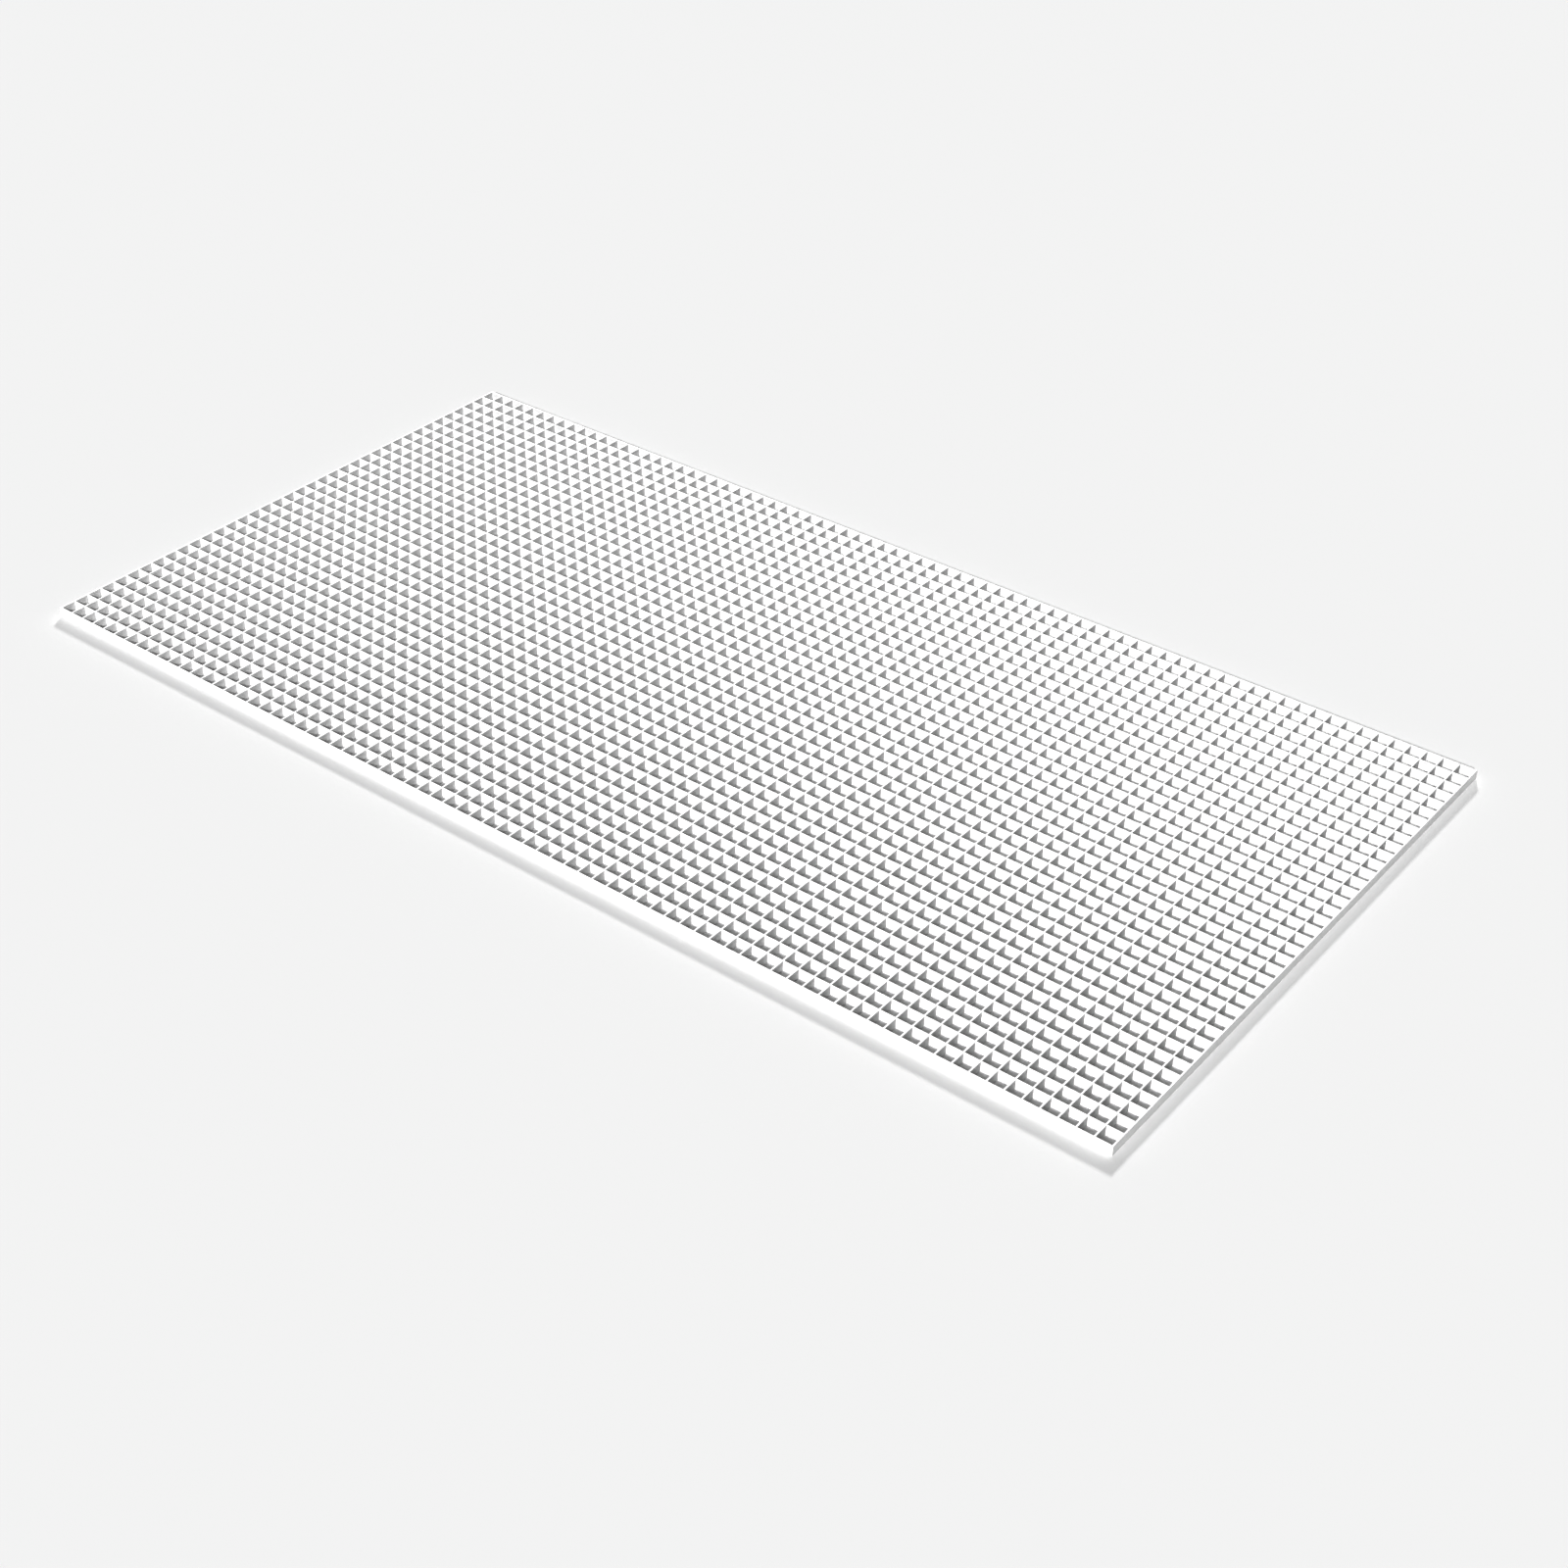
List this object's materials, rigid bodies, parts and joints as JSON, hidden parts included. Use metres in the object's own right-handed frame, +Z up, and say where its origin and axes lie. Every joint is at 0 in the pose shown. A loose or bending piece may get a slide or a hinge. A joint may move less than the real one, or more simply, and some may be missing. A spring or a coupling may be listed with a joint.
{
  "type": "egg-crate grid panel",
  "caption": "Flat rectangular panel of crossed, half-lapped thin blades that form open square cells, for light, air or drainage to pass through.",
  "frame": {"origin": "middle of the underside, the face that the panel lies on", "axes": "+X along the panel's length, +Y across its width, +Z up through its thickness; the long blades' unbroken edges are on the underside"},
  "size_m": [1.208, 0.6048, 0.0095],
  "materials": {
    "grid_plastic": "white moulded styrene, satin",
    "edge_plastic": "white moulded styrene, satin, trimmed edge"
  },
  "bodies": {
    "root": {"back_edge_blade": "edge_plastic", "cross_blades_01_to_05": "grid_plastic", "cross_blades_06_to_10": "grid_plastic", "cross_blades_11_to_15": "grid_plastic", "cross_blades_16_to_20": "grid_plastic", "cross_blades_21_to_25": "grid_plastic", "cross_blades_26_to_30": "grid_plastic", "cross_blades_31_to_35": "grid_plastic", "cross_blades_36_to_40": "grid_plastic", "cross_blades_41_to_45": "grid_plastic", "cross_blades_46_to_50": "grid_plastic", "cross_blades_51_to_55": "grid_plastic", "cross_blades_56_to_60": "grid_plastic", "cross_blades_61_to_65": "grid_plastic", "cross_blades_66_to_70": "grid_plastic", "cross_blades_71_to_75": "grid_plastic", "front_edge_blade": "edge_plastic", "left_end_blade": "edge_plastic", "long_blade_01": "grid_plastic", "long_blade_02": "grid_plastic", "long_blade_03": "grid_plastic", "long_blade_04": "grid_plastic", "long_blade_05": "grid_plastic", "long_blade_06": "grid_plastic", "long_blade_07": "grid_plastic", "long_blade_08": "grid_plastic", "long_blade_09": "grid_plastic", "long_blade_10": "grid_plastic", "long_blade_11": "grid_plastic", "long_blade_12": "grid_plastic", "long_blade_13": "grid_plastic", "long_blade_14": "grid_plastic", "long_blade_15": "grid_plastic", "long_blade_16": "grid_plastic", "long_blade_17": "grid_plastic", "long_blade_18": "grid_plastic", "long_blade_19": "grid_plastic", "long_blade_20": "grid_plastic", "long_blade_21": "grid_plastic", "long_blade_22": "grid_plastic", "long_blade_23": "grid_plastic", "long_blade_24": "grid_plastic", "long_blade_25": "grid_plastic", "long_blade_26": "grid_plastic", "long_blade_27": "grid_plastic", "long_blade_28": "grid_plastic", "long_blade_29": "grid_plastic", "long_blade_30": "grid_plastic", "long_blade_31": "grid_plastic", "long_blade_32": "grid_plastic", "long_blade_33": "grid_plastic", "long_blade_34": "grid_plastic", "long_blade_35": "grid_plastic", "long_blade_36": "grid_plastic", "long_blade_37": "grid_plastic", "right_end_blade": "edge_plastic"}
  },
  "joints": []
}
